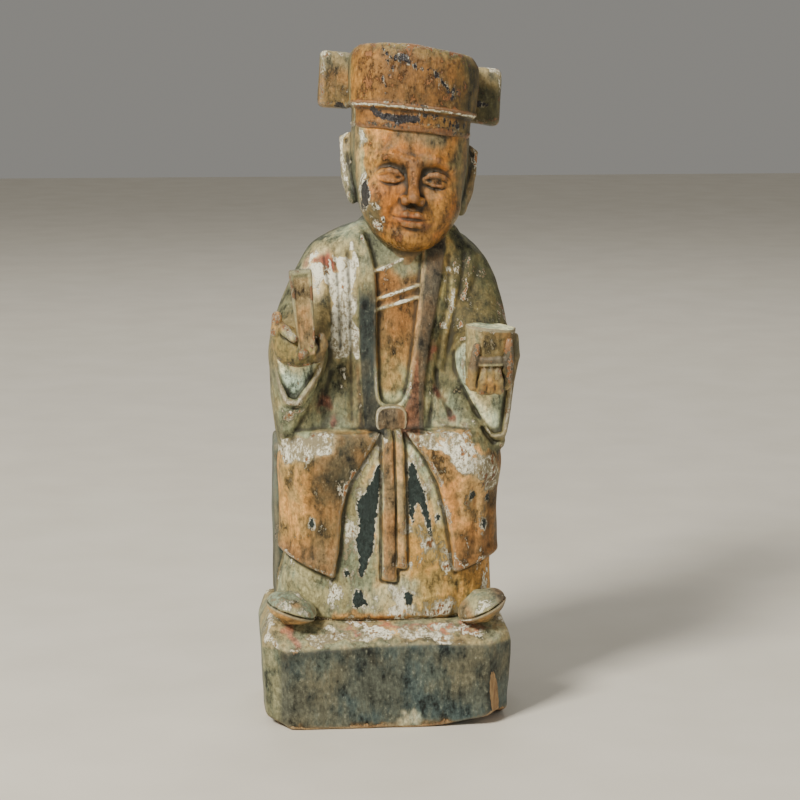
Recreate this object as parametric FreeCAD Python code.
import FreeCAD, Part

import math
import os

from FreeCAD import Vector

# A carved and painted wooden figurine: a seated official on a block plinth, holding a tablet and a cup.
#
# It is joined from carved blocks: a plinth, a seat block, the robed trunk, a head on a neck tenon, a hat with
# two pegged wings, two hands on wrist tenons, and small glued pieces. A plug in the back closes the cavity
# that holds the consecration deposit. The plug pulls out backwards.
#
# Millimetres, +Z up. -Y is the figure's front and +X its own left. The origin is on the plinth's underside,
# below the middle of the skirt. The figure leans and its head is tilted, because it is hand carved.

# Plinth
PLINTH_X = (-52.8, 54.8)
PLINTH_Y = (-40.0, 38.0)
PLINTH_FOOT_DRAFT = 1.6  # how far the underside's outline is drawn in
PLINTH_CORNER = 11.0  # chamfer of the upright corners
PLINTH_WALL = 36.0  # height of the upright faces
PLINTH_TOP = 44.5
PLINTH_BEVEL_FRONT = 14.0
PLINTH_BEVEL_SIDE = 4.0

# Seat block behind the legs
SEAT_X = (-46.0, 44.5)
SEAT_Y = (-2.0, 34.0)
SEAT_TOP = 118.0
SEAT_EDGE = 2.0

# Rings of a loft: height, middle x, half width, front y, back y
RING_POINTS = 24
BODY_SQUARENESS = 2.5
HEAD_SQUARENESS = 2.25
TORSO_RINGS = [
    (112.0, 2.5, 43.0, -26.0, 32.0),
    (124.0, 2.5, 43.0, -26.0, 32.0),
    (136.0, 3.0, 42.0, -25.0, 31.0),
    (152.0, 4.0, 43.5, -23.0, 30.0),
    (170.0, 5.0, 45.5, -21.0, 29.0),
    (186.0, 6.4, 44.0, -19.5, 27.0),
    (197.0, 7.2, 41.0, -17.5, 24.5),
    (205.0, 9.5, 33.5, -15.0, 21.0),
    (212.0, 11.0, 21.5, -12.0, 16.0),
]
LEG_RINGS = [
    (PLINTH_TOP, 2.5, 47.0, -25.8, 30.0),
    (56.0, 2.5, 46.5, -26.8, 30.0),
    (72.0, 2.5, 46.0, -28.5, 30.0),
    (96.0, 2.5, 46.0, -30.5, 30.0),
    (114.0, 2.5, 46.5, -31.5, 30.0),
    (122.0, 2.5, 45.5, -31.0, 30.0),
    (127.0, 2.5, 43.0, -28.5, 30.0),
]
RIGHT_SLEEVE_RINGS = [
    (124.0, -41.0, 3.2, -28.0, 0.0),
    (136.0, -37.2, 7.8, -32.0, 8.0),
    (150.0, -34.0, 12.6, -34.0, 14.0),
    (164.0, -34.2, 13.2, -33.0, 14.0),
    (176.0, -32.5, 10.5, -22.0, 12.0),
    (188.0, -29.5, 6.0, -12.0, 8.0),
]
LEFT_SLEEVE_RINGS = [
    (122.0, 49.0, 3.4, -28.0, 0.0),
    (136.0, 45.0, 9.6, -32.0, 8.0),
    (150.0, 42.5, 14.7, -34.0, 14.0),
    (162.0, 41.8, 13.8, -33.0, 14.0),
    (173.0, 41.2, 11.4, -22.0, 12.0),
    (186.0, 43.0, 6.5, -12.0, 8.0),
]
SLEEVE_FLOOR = -27.0  # y of the bottom of the hollow in a sleeve's mouth

# Outlines in x and z on the front of the trunk
RIGHT_MOUTH = [(-45.2, 163.0), (-44.2, 152.0), (-39.4, 140.5), (-31.0, 149.0), (-25.5, 162.0), (-36.0, 170.0)]
LEFT_MOUTH = [
    (30.0, 163.0), (30.5, 150.0), (37.0, 137.5), (47.4, 126.0), (53.2, 140.0), (54.8, 155.0), (43.0, 170.0),
]
RIGHT_LAPEL = [(-4.2, 136.0), (-4.4, 200.0), (-3.0, 213.0), (-14.5, 213.0), (-13.6, 182.0), (-10.6, 136.0)]
LEFT_LAPEL = [
    (10.6, 136.0), (14.2, 182.0), (17.0, 200.0), (20.0, 213.0), (29.0, 211.0), (24.8, 182.0), (16.8, 136.0),
]
RIGHT_FLAP = [
    (-6.5, 127.0), (-14.5, 112.0), (-18.6, 98.0), (-21.0, 80.0), (-21.8, 64.0), (-52.0, 73.5), (-52.0, 127.0),
]
LEFT_FLAP = [
    (10.2, 127.0), (18.0, 112.0), (22.6, 98.0), (26.0, 80.0), (28.2, 65.0), (56.0, 69.5), (56.0, 127.0),
]
SASH_TAILS = [
    [(-0.8, 128.0), (-0.2, 63.0), (4.8, 62.0), (3.6, 128.0)],
    [(4.2, 128.0), (5.3, 68.5), (8.9, 68.0), (7.6, 128.0)],
]
LAPEL_PROUD = 1.4
FLAP_PROUD = 3.2
SASH_PROUD = 2.2
RELIEF_BACK = -8.0  # y that the carved layers reach back to, inside the block
FORWARD = -60.0  # a y in front of everything

# Belt plaque
PLAQUE_MIDDLE = (3.0, 132.3)
PLAQUE_SIZE = (14.0, 13.0)
PLAQUE_Y = (-28.5, -23.0)
PLAQUE_CORNER = 4.0
PLAQUE_EDGE = 1.2

# Head and hat, in their own upright frame with the chin at height 0
NECK_POINT = Vector(10.8, -4.0, 203.5)
HEAD_TILT = 6.5  # degrees, towards the figure's left
HEAD_PITCH = 6.0  # degrees, backwards
HEAD_DRIFT = -0.061  # how far the middle moves sideways per millimetre of height
HEAD_RINGS = [
    (0.0, 9.5, -21.5, -3.0),
    (4.0, 13.5, -23.2, 3.0),
    (12.0, 18.5, -23.6, 12.0),
    (24.0, 22.8, -23.8, 17.5),
    (38.0, 25.0, -24.2, 20.5),
    (49.5, 25.0, -23.6, 20.5),
]
NECK_RADIUS = 13.0
NECK_MIDDLE_Y = 2.0
NECK_Z = (-3.0, 14.0)
NECK_TENON_RADIUS = 9.0
NECK_TENON_LENGTH = 14.0
NOSE = [(0.0, -23.0, 35.0), (-4.6, -23.0, 19.0), (4.6, -23.0, 19.0), (0.0, -29.0, 21.0)]
EAR_OUTLINE = [(19.0, 17.0), (24.0, 18.5), (27.5, 27.0), (30.2, 42.0), (27.5, 44.0), (19.0, 40.0)]
EAR_Y = (-2.5, 3.5)
HAT_BAND_RINGS = [(49.5, 25.2, -25.2, 21.5), (57.0, 25.6, -25.6, 22.0)]
HAT_CROWN_RINGS = [
    (57.0, 26.6, -26.8, 22.5),
    (69.0, 27.6, -28.0, 23.5),
    (78.0, 27.6, -27.8, 23.5),
    (81.5, 26.4, -26.6, 22.5),
]

# Wings of the hat, in the head's frame, measured from the hat's own middle
WING_X = (23.0, 38.8)
WING_Y = (5.0, 15.0)
WING_Z = (55.7, 80.0)
WING_CORNER = 2.4
WING_TENON = 5.0
WING_TENON_DEPTH = 6.0

# Tablet and the right hand, which holds it
TABLET_SIZE = (9.4, 5.0, 35.5)
TABLET_FOOT = Vector(-32.4, -37.0, 163.0)
TABLET_LEAN = 6.5  # degrees, outwards
TABLET_RIM = 1.8
TABLET_CHANNEL = 1.2
RIGHT_PALM_RINGS = [
    (157.0, -36.0, 3.5, -35.0, -29.5),
    (160.0, -36.2, 8.2, -37.0, -27.5),
    (165.0, -36.2, 10.8, -38.0, -26.5),
    (169.5, -36.0, 9.0, -37.0, -27.5),
    (171.5, -36.0, 5.0, -35.5, -29.0),
]
FINGER_RADIUS = 2.5
FINGER_ROUNDING = 2.1
RIGHT_FINGERS = [
    ((-44.0, -33.5, 164.0), (-44.6, -35.5, 175.0)),
    ((-41.0, -36.0, 163.0), (-41.4, -38.0, 176.5)),
    ((-27.5, -33.5, 164.0), (-27.0, -36.0, 172.5)),
]

# Cup and the left hand, which holds it
CUP_FOOT = Vector(42.3, -32.5, 150.0)
CUP_HEIGHT = 23.0
CUP_RADII = (8.6, 10.5)  # foot, top
CUP_LEAN = 5.0  # degrees, towards the figure's left
LEFT_PALM_RINGS = [
    (143.5, 43.0, 4.0, -38.0, -30.0),
    (145.0, 43.0, 7.5, -40.0, -28.0),
    (148.5, 43.0, 8.8, -41.0, -27.0),
    (151.5, 43.0, 7.5, -40.0, -28.0),
]
LEFT_FINGERS = [
    ((36.2, -38.5, 147.5), (35.6, -40.5, 163.5)),
    ((50.4, -38.0, 147.5), (51.2, -39.0, 166.0)),
    ((40.8, -41.0, 148.5), (41.0, -42.0, 157.0)),
    ((45.8, -41.0, 148.5), (46.0, -41.8, 156.5)),
]
WRIST_RADIUS = 4.5
WRIST_FRONT = -33.0
WRIST_LENGTH = 20.0
RIGHT_WRIST = (-36.0, 164.0)
LEFT_WRIST = (43.0, 147.5)

# Shoes: rings along y as y, half width, bottom z, top z
SHOE_RINGS = [
    (-18.0, 10.5, PLINTH_TOP, 59.0),
    (-30.0, 11.0, PLINTH_TOP, 59.0),
    (-36.5, 9.0, 45.3, 57.0),
    (-40.0, 4.5, 47.0, 53.5),
]
RIGHT_SHOE_X = -39.8
LEFT_SHOE_X = 41.5

# Cavity in the back, its plug, and the deposit inside
CAVITY_X = (-8.0, 18.0)
CAVITY_Y = (4.0, 22.0)
CAVITY_Z = (136.0, 180.0)
PLUG_LEDGE = 3.5
PLUG_CLEARANCE = 0.2
SCROLL_RADIUS = 4.6
SCROLL_BORE = 1.1
SCROLL_LENGTH = 40.0
SCROLL_AXIS = (-2.0, 12.0)
THREAD_RADIUS = 0.45
THREAD_HEIGHTS = (150.0, 151.2, 164.0)
PACKET_SIZE = (12.0, 10.0, 17.0)
PACKET_MIDDLE = (10.5, 11.5)
PACKET_EDGE = 2.5

# Dowels
DOWEL_RADIUS = 3.0
PLINTH_DOWELS = [(-22.0, -14.0), (26.0, -14.0), (-28.0, 18.0), (28.0, 18.0)]
PLINTH_DOWEL_Z = (30.0, 60.0)
SEAT_DOWELS = [(-24.0, 16.0), (28.0, 16.0)]
SEAT_DOWEL_Z = (106.0, 130.0)
HAT_DOWEL_Z = (39.5, 64.5)

BEHIND = 80.0  # a y behind everything


def ring_points(middle, half_width, low, high, squareness):
    """Points of a rounded, squarish outline, half_width each side of middle, that runs from low to high."""
    centre = (low + high) / 2
    points = []
    for i in range(RING_POINTS):
        turn = 2 * math.pi * i / RING_POINTS
        c, s = math.cos(turn), math.sin(turn)
        across = math.copysign(abs(c) ** (2 / squareness), c)
        along = math.copysign(abs(s) ** (2 / squareness), s)
        points.append((middle + half_width * across, centre + (high - low) / 2 * along))
    return points


def smooth_wire(points):
    """One smooth closed wire through the points."""
    curve = Part.BSplineCurve()
    curve.interpolate(Points=points, PeriodicFlag=True)
    return Part.Wire(curve.toShape())


def straight_wire(points):
    """A closed wire of straight edges through the points."""
    return Part.makePolygon(points + points[:1])


def body_loft(rings, proud=0.0):
    """A solid through level rings, each standing proud of its stated size."""
    wires = []
    for z, middle, half, front, back in rings:
        outline = ring_points(middle, half + proud, front - proud, back + proud, BODY_SQUARENESS)
        wires.append(smooth_wire([Vector(x, y, z) for x, y in outline]))
    return Part.makeLoft(wires, True, True)


def head_loft(rings):
    """A solid through level rings in the head's frame, whose middle drifts sideways with height."""
    wires = []
    for z, half, front, back in rings:
        outline = ring_points(HEAD_DRIFT * z, half, front, back, HEAD_SQUARENESS)
        wires.append(smooth_wire([Vector(x, y, z) for x, y in outline]))
    return Part.makeLoft(wires, True, True)


def prism(outline, y_from, y_to):
    """A solid with that straight-edged outline in x and z, from one y to another."""
    face = Part.Face(straight_wire([Vector(x, y_from, z) for x, z in outline]))
    return face.extrude(Vector(0, y_to - y_from, 0))


def smooth_prism(outline, y_from, y_to):
    """As prism, with the outline smoothed into one closed curve."""
    face = Part.Face(smooth_wire([Vector(x, y_from, z) for x, z in outline]))
    return face.extrude(Vector(0, y_to - y_from, 0))


def box(x, y, z):
    """A box between two values of x, of y and of z."""
    return Part.makeBox(x[1] - x[0], y[1] - y[0], z[1] - z[0], Vector(x[0], y[0], z[0]))


def finger(start, end):
    """A round bar with rounded ends."""
    a, b = Vector(*start), Vector(*end)
    reach = (b - a).normalize() * FINGER_RADIUS
    bar = Part.makeCylinder(FINGER_RADIUS, (Vector(*end) - a + reach * 2).Length, a - reach, reach)
    return bar.makeFillet(FINGER_ROUNDING, [edge for edge in bar.Edges if edge.isClosed()])


def dowel(x, y, z):
    """An upright dowel at x and y, between two heights."""
    return Part.makeCylinder(DOWEL_RADIUS, z[1] - z[0], Vector(x, y, z[0]))


def one_solid(shape):
    """The shape's largest solid, with no seams left inside its faces."""
    return max(shape.removeSplitter().Solids, key=lambda solid: solid.Volume)


def cut_each(shape, tools):
    """The shape less each tool in turn."""
    for tool in tools:
        shape = one_solid(shape.cut(tool))
    return shape


def fuse_each(shape, additions):
    """The shape joined with each addition in turn."""
    for addition in additions:
        shape = one_solid(shape.fuse(addition))
    return shape


def placed_on_neck(shape):
    """Moves a shape from the head's own upright frame to the tilted head's place."""
    turned = shape.copy()
    turned.rotate(Vector(0, 0, 0), Vector(1, 0, 0), -HEAD_PITCH)
    turned.rotate(Vector(0, 0, 0), Vector(0, 1, 0), HEAD_TILT)
    turned.translate(NECK_POINT)
    return turned


def make_plinth():
    """A block with chamfered corners, drawn in at the foot, with shoulders that slope up to the standing face."""

    def outline(z, side, front, back):
        left, right = PLINTH_X[0] + side, PLINTH_X[1] - side
        near, far = PLINTH_Y[0] + front, PLINTH_Y[1] - back
        corner = PLINTH_CORNER
        corners = [
            (left, near + corner), (left + corner, near), (right - corner, near), (right, near + corner),
            (right, far - corner), (right - corner, far), (left + corner, far), (left, far - corner),
        ]
        return straight_wire([Vector(x, y, z) for x, y in corners])

    foot = outline(0.0, PLINTH_FOOT_DRAFT, PLINTH_FOOT_DRAFT, PLINTH_FOOT_DRAFT)
    wall = outline(PLINTH_WALL, 0.0, 0.0, 0.0)
    top = outline(PLINTH_TOP, PLINTH_BEVEL_SIDE, PLINTH_BEVEL_FRONT, PLINTH_BEVEL_SIDE)
    return Part.makeLoft([foot, wall], True, True).fuse(Part.makeLoft([wall, top], True, True))


def make_seat():
    """The plain block that the figure sits on, with its rear corners eased."""
    block = box(SEAT_X, SEAT_Y, (PLINTH_TOP, SEAT_TOP))
    rear = [
        edge for edge in block.Edges
        if all(v.Point.y > SEAT_Y[0] + 1 for v in edge.Vertexes)
        and abs(edge.Vertexes[0].Point.z - edge.Vertexes[1].Point.z) > 1
    ]
    return block.makeChamfer(SEAT_EDGE, rear)


def make_trunk_block():
    """The robed body before its sockets: torso, legs, sleeves and the carved layers of cloth."""
    seat_space = box((-BEHIND, BEHIND), (SEAT_Y[0], BEHIND), (0.0, SEAT_TOP))
    reliefs = [
        (TORSO_RINGS, LAPEL_PROUD, [RIGHT_LAPEL, LEFT_LAPEL]),
        (LEG_RINGS, FLAP_PROUD, [RIGHT_FLAP, LEFT_FLAP]),
        (LEG_RINGS, SASH_PROUD, SASH_TAILS),
    ]
    body = one_solid(body_loft(TORSO_RINGS).fuse(body_loft(LEG_RINGS).cut(seat_space))).cut(seat_space)
    for rings, proud, outlines in reliefs:
        layer = body_loft(rings, proud)
        body = fuse_each(body, [layer.common(prism(outline, FORWARD, RELIEF_BACK)) for outline in outlines])
    body = fuse_each(body, [body_loft(rings) for rings in (RIGHT_SLEEVE_RINGS, LEFT_SLEEVE_RINGS)])
    return cut_each(body, [smooth_prism(mouth, FORWARD, SLEEVE_FLOOR) for mouth in (RIGHT_MOUTH, LEFT_MOUTH)])


def make_nose():
    """A plain four-sided wedge for the nose."""
    bridge, right, left, tip = (Vector(*point) for point in NOSE)
    sides = [(bridge, right, tip), (bridge, tip, left), (right, left, tip), (bridge, left, right)]
    return Part.Solid(Part.Shell([Part.Face(straight_wire(list(side))) for side in sides]))


def make_head():
    """The head with its nose and ears, and a neck that ends in a round tenon."""
    ears = [prism([(side * x + HEAD_DRIFT * z, z) for x, z in EAR_OUTLINE], *EAR_Y) for side in (-1, 1)]
    neck = Part.makeCylinder(NECK_RADIUS, NECK_Z[1] - NECK_Z[0], Vector(0, NECK_MIDDLE_Y, NECK_Z[0]))
    tenon_foot = Vector(0, NECK_MIDDLE_Y, NECK_Z[0] - NECK_TENON_LENGTH)
    tenon = Part.makeCylinder(NECK_TENON_RADIUS, NECK_TENON_LENGTH, tenon_foot)
    return placed_on_neck(fuse_each(head_loft(HEAD_RINGS), [make_nose(), *ears, neck, tenon]))


def make_wing(side):
    """A stub wing with eased outer edges, and the square tenon that pegs it into the hat."""
    middle_y, middle_z = sum(WING_Y) / 2, sum(WING_Z) / 2
    drift = HEAD_DRIFT * middle_z
    half = WING_TENON / 2

    def between(x_from, x_to, y, z):
        low, high = sorted((side * x_from + drift, side * x_to + drift))
        return box((low, high), y, z)

    slab = between(*WING_X, WING_Y, WING_Z)
    outer = [
        edge for edge in slab.Edges
        if all(abs(v.Point.x - drift - side * WING_X[1]) < 0.01 for v in edge.Vertexes)
    ]
    slab = slab.makeFillet(WING_CORNER, outer)
    peg = between(
        WING_X[0] - WING_TENON_DEPTH, WING_X[0] + 1.0,
        (middle_y - half, middle_y + half), (middle_z - half, middle_z + half),
    )
    return placed_on_neck(one_solid(slab.fuse(peg)))


def make_tablet():
    """A flat tablet with a shallow channel down its face, leaning outwards."""
    width, thick, length = TABLET_SIZE
    body = box((-width / 2, width / 2), (-thick / 2, thick / 2), (0.0, length))
    inner = width / 2 - TABLET_RIM
    channel = box((-inner, inner), (-thick, TABLET_CHANNEL - thick / 2), (-1.0, length - TABLET_RIM))
    body = body.cut(channel)
    body.rotate(Vector(0, 0, 0), Vector(0, 1, 0), -TABLET_LEAN)
    body.translate(TABLET_FOOT)
    return body


def make_cup():
    """A solid cup with a flat top, narrowing to its foot."""
    cup = Part.makeCone(*CUP_RADII, CUP_HEIGHT, CUP_FOOT)
    cup.rotate(CUP_FOOT, Vector(0, 1, 0), CUP_LEAN)
    return cup


def make_hand(palm, fingers, wrist):
    """A palm with its fingers, and the wrist tenon that goes back into the sleeve."""
    tenon = Part.makeCylinder(WRIST_RADIUS, WRIST_LENGTH, Vector(wrist[0], WRIST_FRONT, wrist[1]), Vector(0, 1, 0))
    return fuse_each(body_loft(palm), [finger(start, end) for start, end in fingers] + [tenon])


def make_shoe(x):
    """The toe of a shoe, rounded in front and flat beneath."""
    wires = []
    for y, half, low, high in SHOE_RINGS:
        outline = ring_points(x, half, low, high, BODY_SQUARENESS)
        wires.append(smooth_wire([Vector(a, y, b) for a, b in outline]))
    return Part.makeLoft(wires, True, True)


def make_plaque():
    """The raised plaque on the belt, a rounded square."""
    x, z = PLAQUE_MIDDLE
    half_w, half_h = PLAQUE_SIZE[0] / 2, PLAQUE_SIZE[1] / 2
    plate = box((x - half_w, x + half_w), PLAQUE_Y, (z - half_h, z + half_h))
    corners = [e for e in plate.Edges if abs(e.Vertexes[0].Point.y - e.Vertexes[1].Point.y) > 1]
    plate = plate.makeFillet(PLAQUE_CORNER, corners)
    front = [e for e in plate.Edges if all(abs(v.Point.y - PLAQUE_Y[0]) < 0.01 for v in e.Vertexes)]
    return plate.makeFillet(PLAQUE_EDGE, front)


def plug_box(gap):
    """The space from the plug's seat backwards, inside the plug's outline grown by gap."""
    reach = PLUG_LEDGE + gap
    x = (CAVITY_X[0] - reach, CAVITY_X[1] + reach)
    z = (CAVITY_Z[0] - reach, CAVITY_Z[1] + reach)
    return box(x, (CAVITY_Y[1], BEHIND), z)


def make_scroll():
    """A rolled paper, standing on the cavity's floor."""
    foot = Vector(*SCROLL_AXIS, CAVITY_Z[0])
    roll = Part.makeCylinder(SCROLL_RADIUS, SCROLL_LENGTH, foot)
    return roll.cut(Part.makeCylinder(SCROLL_BORE, SCROLL_LENGTH, foot))


def make_thread():
    """The turns of thread tied round the paper roll."""
    turn = SCROLL_RADIUS + THREAD_RADIUS
    return Part.makeCompound(
        [Part.makeTorus(turn, THREAD_RADIUS, Vector(*SCROLL_AXIS, z)) for z in THREAD_HEIGHTS]
    )


def make_packet():
    """A small folded packet of herbs with rounded edges, standing on the cavity's floor."""
    width, depth, height = PACKET_SIZE
    x, y = PACKET_MIDDLE
    floor = CAVITY_Z[0]
    block = box((x - width / 2, x + width / 2), (y - depth / 2, y + depth / 2), (floor, floor + height))
    raised = [edge for edge in block.Edges if max(v.Point.z for v in edge.Vertexes) > floor + 1]
    return block.makeFillet(PACKET_EDGE, raised)


def make_all():
    """Every piece by name, each cut to fit its neighbours face to face."""
    plinth_dowels = [dowel(x, y, PLINTH_DOWEL_Z) for x, y in PLINTH_DOWELS]
    seat_dowels = [dowel(x, y, SEAT_DOWEL_Z) for x, y in SEAT_DOWELS]
    hat_dowel = placed_on_neck(dowel(HEAD_DRIFT * HAT_DOWEL_Z[0], NECK_MIDDLE_Y, HAT_DOWEL_Z))
    wings = [make_wing(-1), make_wing(1)]
    plinth = one_solid(make_plinth())
    plaque, tablet, cup = make_plaque(), make_tablet(), make_cup()
    right_hand = cut_each(make_hand(RIGHT_PALM_RINGS, RIGHT_FINGERS, RIGHT_WRIST), [tablet])
    left_hand = cut_each(make_hand(LEFT_PALM_RINGS, LEFT_FINGERS, LEFT_WRIST), [cup])
    head = make_head()
    hat = placed_on_neck(head_loft(HAT_BAND_RINGS).fuse(head_loft(HAT_CROWN_RINGS)))

    block = make_trunk_block()
    cavity = box(CAVITY_X, (CAVITY_Y[0], CAVITY_Y[1] + 1.0), CAVITY_Z)
    trunk = cut_each(block, [plug_box(PLUG_CLEARANCE), cavity, head, plaque, right_hand, left_hand, cup, tablet])
    trunk = cut_each(trunk, plinth_dowels + seat_dowels)

    return {
        "plinth": cut_each(plinth, plinth_dowels),
        "seat_block": cut_each(make_seat(), plinth_dowels + seat_dowels),
        "robe_trunk": trunk,
        "head": cut_each(head, [hat_dowel]),
        "hat": cut_each(hat, [hat_dowel, *wings]),
        "hat_wing_right": wings[0],
        "hat_wing_left": wings[1],
        "right_hand": right_hand,
        "left_hand": left_hand,
        "tablet": tablet,
        "cup": cup,
        "belt_plaque": plaque,
        "right_shoe": cut_each(make_shoe(RIGHT_SHOE_X), [block, plinth]),
        "left_shoe": cut_each(make_shoe(LEFT_SHOE_X), [block, plinth]),
        "cavity_cover": one_solid(body_loft(TORSO_RINGS).common(plug_box(0.0))),
        "consecration_scroll": make_scroll(),
        "scroll_thread": make_thread(),
        "herb_packet": make_packet(),
        "plinth_dowels": Part.makeCompound(plinth_dowels),
        "seat_dowels": Part.makeCompound(seat_dowels),
        "hat_dowel": hat_dowel,
    }


os.makedirs("parts", exist_ok=True)
for name, shape in make_all().items():
    shape.exportStep(f"parts/{name}.step")
    print(name, "valid" if shape.isValid() else "NOT VALID", round(shape.Volume), len(shape.Solids))
